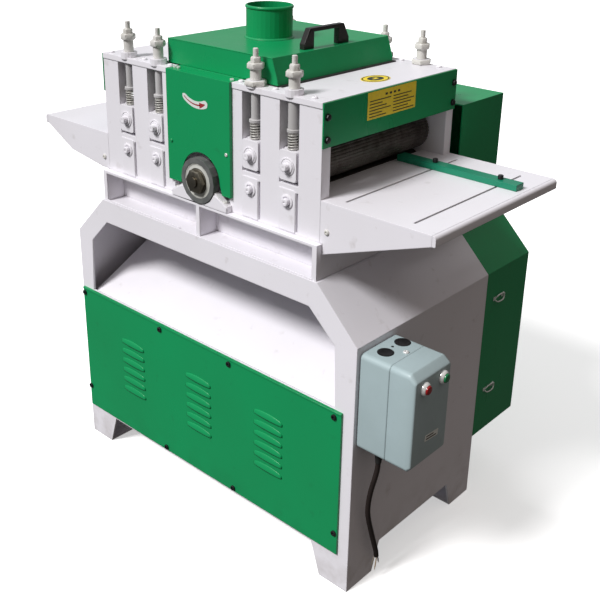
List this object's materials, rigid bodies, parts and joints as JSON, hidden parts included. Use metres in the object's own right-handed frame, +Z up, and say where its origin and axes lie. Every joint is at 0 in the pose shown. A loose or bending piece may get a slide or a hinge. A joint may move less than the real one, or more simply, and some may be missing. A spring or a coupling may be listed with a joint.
{
  "type": "thickness planer",
  "caption": "Floor-standing power-fed wood machine: feed rollers over a cutter arbor, tables at both ends, dust hood with port, sheet-steel cabinet with chip chute.",
  "frame": {"origin": "centre of the machine's footprint box on the floor", "axes": "+Z up, +X towards the infeed table's end, +Y towards the rear belt and chain guards; the operator stands at -Y"},
  "size_m": [1.1454, 0.67, 1.1586],
  "materials": {
    "white_paint": "satin enamel, pale lavender grey",
    "green_paint": "gloss enamel",
    "feed_steel": "ground, lightly oiled",
    "zinc_plate": "dull zinc",
    "cast_iron": "as cast and turned",
    "tool_steel": "ground",
    "belt_rubber": "matt",
    "cord_rubber": "satin",
    "black_plastic": "moulded",
    "grey_casing": "satin enamel, blue grey",
    "motor_paint": "satin enamel",
    "red_button": "gloss",
    "green_button": "gloss"
  },
  "bodies": {
    "frame": {"base_cabinet": "white_paint", "louvre_panel": "green_paint", "bed_frame": "white_paint", "front_side_plate": "white_paint", "rear_side_plate": "white_paint", "cap_bar_front_left": "white_paint", "cap_bar_front_right": "white_paint", "cap_bar_rear_left": "white_paint", "cap_bar_rear_right": "white_paint", "infeed_top_cover": "white_paint", "outfeed_top_cover": "white_paint", "infeed_table": "white_paint", "outfeed_table": "white_paint", "infeed_guard_panel": "green_paint", "outfeed_guard_panel": "green_paint", "arbor_guard": "green_paint", "front_arbor_bearing": "cast_iron", "rear_arbor_bearing": "cast_iron", "main_motor": "motor_paint", "feed_gearmotor": "motor_paint", "drive_belt": "belt_rubber", "belt_guard": "green_paint", "chain_guard": "green_paint", "starter_box": "grey_casing", "starter_cover": "grey_casing", "power_cord": "cord_rubber"},
    "arbor": {"arbor_shaft": "feed_steel", "cutter_stack": "tool_steel", "arbor_nut": "feed_steel", "arbor_pulley": "cast_iron"},
    "motor_rotor": {"motor_pulley": "cast_iron"},
    "dust_hood": {"dust_hood": "green_paint", "hood_handle": "black_plastic"},
    "fence": {"fence": "green_paint"},
    "stop_button": {"stop_button": "red_button"},
    "start_button": {"start_button": "green_button"},
    "carriage_1": {"upper_block_front_1": "white_paint", "upper_block_rear_1": "white_paint"},
    "upper_feed_roller_1": {"upper_roller_1": "feed_steel"},
    "lower_feed_roller_1": {"lower_roller_1": "feed_steel"},
    "pressure_screw_front_1": {"pressure_screw_front_1": "zinc_plate"},
    "pressure_screw_rear_1": {"pressure_screw_rear_1": "zinc_plate"},
    "carriage_2": {"upper_block_front_2": "white_paint", "upper_block_rear_2": "white_paint"},
    "upper_feed_roller_2": {"upper_roller_2": "feed_steel"},
    "lower_feed_roller_2": {"lower_roller_2": "feed_steel"},
    "pressure_screw_front_2": {"pressure_screw_front_2": "zinc_plate"},
    "pressure_screw_rear_2": {"pressure_screw_rear_2": "zinc_plate"},
    "carriage_3": {"upper_block_front_3": "white_paint", "upper_block_rear_3": "white_paint"},
    "upper_feed_roller_3": {"upper_roller_3": "feed_steel"},
    "lower_feed_roller_3": {"lower_roller_3": "feed_steel"},
    "pressure_screw_front_3": {"pressure_screw_front_3": "zinc_plate"},
    "pressure_screw_rear_3": {"pressure_screw_rear_3": "zinc_plate"},
    "carriage_4": {"upper_block_front_4": "white_paint", "upper_block_rear_4": "white_paint"},
    "upper_feed_roller_4": {"upper_roller_4": "feed_steel"},
    "lower_feed_roller_4": {"lower_roller_4": "feed_steel"},
    "pressure_screw_front_4": {"pressure_screw_front_4": "zinc_plate"},
    "pressure_screw_rear_4": {"pressure_screw_rear_4": "zinc_plate"}
  },
  "joints": [
    {"name": "arbor_spin", "type": "hinge", "parent": "frame", "child": "arbor", "pos_m": [-0.00575, -0.085, 0.815], "axis": [0, 1, 0], "continuous": true},
    {"name": "motor_spin", "type": "hinge", "parent": "frame", "child": "motor_rotor", "pos_m": [-0.00575, -0.085, 0.3], "axis": [0, 1, 0], "continuous": true},
    {"name": "hood_lift", "type": "hinge", "parent": "frame", "child": "dust_hood", "pos_m": [-0.15225, -0.085, 1.0455], "axis": [0, -1, 0], "range_deg": [0, 95]},
    {"name": "fence_slide", "type": "slide", "parent": "frame", "child": "fence", "axis": [0, 1, 0], "range_m": [-0.28, 0.078]},
    {"name": "stop_press", "type": "slide", "parent": "frame", "child": "stop_button", "axis": [-1, 0, 0], "range_m": [0, 0.004], "stiffness_N_per_m": 500, "springref_m": -0.002},
    {"name": "start_press", "type": "slide", "parent": "frame", "child": "start_button", "axis": [-1, 0, 0], "range_m": [0, 0.004], "stiffness_N_per_m": 500, "springref_m": -0.002},
    {"name": "carriage_1_lift", "type": "slide", "parent": "frame", "child": "carriage_1", "axis": [0, 0, 1], "range_m": [0, 0.014], "stiffness_N_per_m": 6000, "springref_m": -0.012},
    {"name": "upper_roller_1_spin", "type": "hinge", "parent": "carriage_1", "child": "upper_feed_roller_1", "pos_m": [-0.25375, -0.085, 0.898], "axis": [0, 1, 0], "continuous": true},
    {"name": "lower_roller_1_spin", "type": "hinge", "parent": "frame", "child": "lower_feed_roller_1", "pos_m": [-0.25375, -0.085, 0.8265], "axis": [0, 1, 0], "continuous": true},
    {"name": "pressure_screw_front_1_turn", "type": "hinge", "parent": "frame", "child": "pressure_screw_front_1", "pos_m": [-0.25375, -0.2905, 1.037], "axis": [0, 0, 1], "range_deg": [-720, 720]},
    {"name": "pressure_screw_rear_1_turn", "type": "hinge", "parent": "frame", "child": "pressure_screw_rear_1", "pos_m": [-0.25375, 0.1205, 1.037], "axis": [0, 0, 1], "range_deg": [-720, 720]},
    {"name": "carriage_2_lift", "type": "slide", "parent": "frame", "child": "carriage_2", "axis": [0, 0, 1], "range_m": [0, 0.014], "stiffness_N_per_m": 6000, "springref_m": -0.012},
    {"name": "upper_roller_2_spin", "type": "hinge", "parent": "carriage_2", "child": "upper_feed_roller_2", "pos_m": [-0.15375, -0.085, 0.898], "axis": [0, 1, 0], "continuous": true},
    {"name": "lower_roller_2_spin", "type": "hinge", "parent": "frame", "child": "lower_feed_roller_2", "pos_m": [-0.15375, -0.085, 0.8265], "axis": [0, 1, 0], "continuous": true},
    {"name": "pressure_screw_front_2_turn", "type": "hinge", "parent": "frame", "child": "pressure_screw_front_2", "pos_m": [-0.15375, -0.2905, 1.037], "axis": [0, 0, 1], "range_deg": [-720, 720]},
    {"name": "pressure_screw_rear_2_turn", "type": "hinge", "parent": "frame", "child": "pressure_screw_rear_2", "pos_m": [-0.15375, 0.1205, 1.037], "axis": [0, 0, 1], "range_deg": [-720, 720]},
    {"name": "carriage_3_lift", "type": "slide", "parent": "frame", "child": "carriage_3", "axis": [0, 0, 1], "range_m": [0, 0.014], "stiffness_N_per_m": 6000, "springref_m": -0.012},
    {"name": "upper_roller_3_spin", "type": "hinge", "parent": "carriage_3", "child": "upper_feed_roller_3", "pos_m": [0.13575, -0.085, 0.898], "axis": [0, 1, 0], "continuous": true},
    {"name": "lower_roller_3_spin", "type": "hinge", "parent": "frame", "child": "lower_feed_roller_3", "pos_m": [0.13575, -0.085, 0.8265], "axis": [0, 1, 0], "continuous": true},
    {"name": "pressure_screw_front_3_turn", "type": "hinge", "parent": "frame", "child": "pressure_screw_front_3", "pos_m": [0.13575, -0.2905, 1.037], "axis": [0, 0, 1], "range_deg": [-720, 720]},
    {"name": "pressure_screw_rear_3_turn", "type": "hinge", "parent": "frame", "child": "pressure_screw_rear_3", "pos_m": [0.13575, 0.1205, 1.037], "axis": [0, 0, 1], "range_deg": [-720, 720]},
    {"name": "carriage_4_lift", "type": "slide", "parent": "frame", "child": "carriage_4", "axis": [0, 0, 1], "range_m": [0, 0.014], "stiffness_N_per_m": 6000, "springref_m": -0.012},
    {"name": "upper_roller_4_spin", "type": "hinge", "parent": "carriage_4", "child": "upper_feed_roller_4", "pos_m": [0.23675, -0.085, 0.898], "axis": [0, 1, 0], "continuous": true},
    {"name": "lower_roller_4_spin", "type": "hinge", "parent": "frame", "child": "lower_feed_roller_4", "pos_m": [0.23675, -0.085, 0.8265], "axis": [0, 1, 0], "continuous": true},
    {"name": "pressure_screw_front_4_turn", "type": "hinge", "parent": "frame", "child": "pressure_screw_front_4", "pos_m": [0.23675, -0.2905, 1.037], "axis": [0, 0, 1], "range_deg": [-720, 720]},
    {"name": "pressure_screw_rear_4_turn", "type": "hinge", "parent": "frame", "child": "pressure_screw_rear_4", "pos_m": [0.23675, 0.1205, 1.037], "axis": [0, 0, 1], "range_deg": [-720, 720]}
  ],
  "couplings": [
    {"joint": "motor_spin", "follows": "arbor_spin", "ratio": 0.76923},
    {"joint": "upper_roller_1_spin", "follows": "lower_roller_1_spin", "ratio": -0.53333},
    {"joint": "lower_roller_2_spin", "follows": "lower_roller_1_spin", "ratio": 1},
    {"joint": "upper_roller_2_spin", "follows": "lower_roller_1_spin", "ratio": -0.53333},
    {"joint": "lower_roller_3_spin", "follows": "lower_roller_1_spin", "ratio": 1},
    {"joint": "upper_roller_3_spin", "follows": "lower_roller_1_spin", "ratio": -0.53333},
    {"joint": "lower_roller_4_spin", "follows": "lower_roller_1_spin", "ratio": 1},
    {"joint": "upper_roller_4_spin", "follows": "lower_roller_1_spin", "ratio": -0.53333}
  ]
}
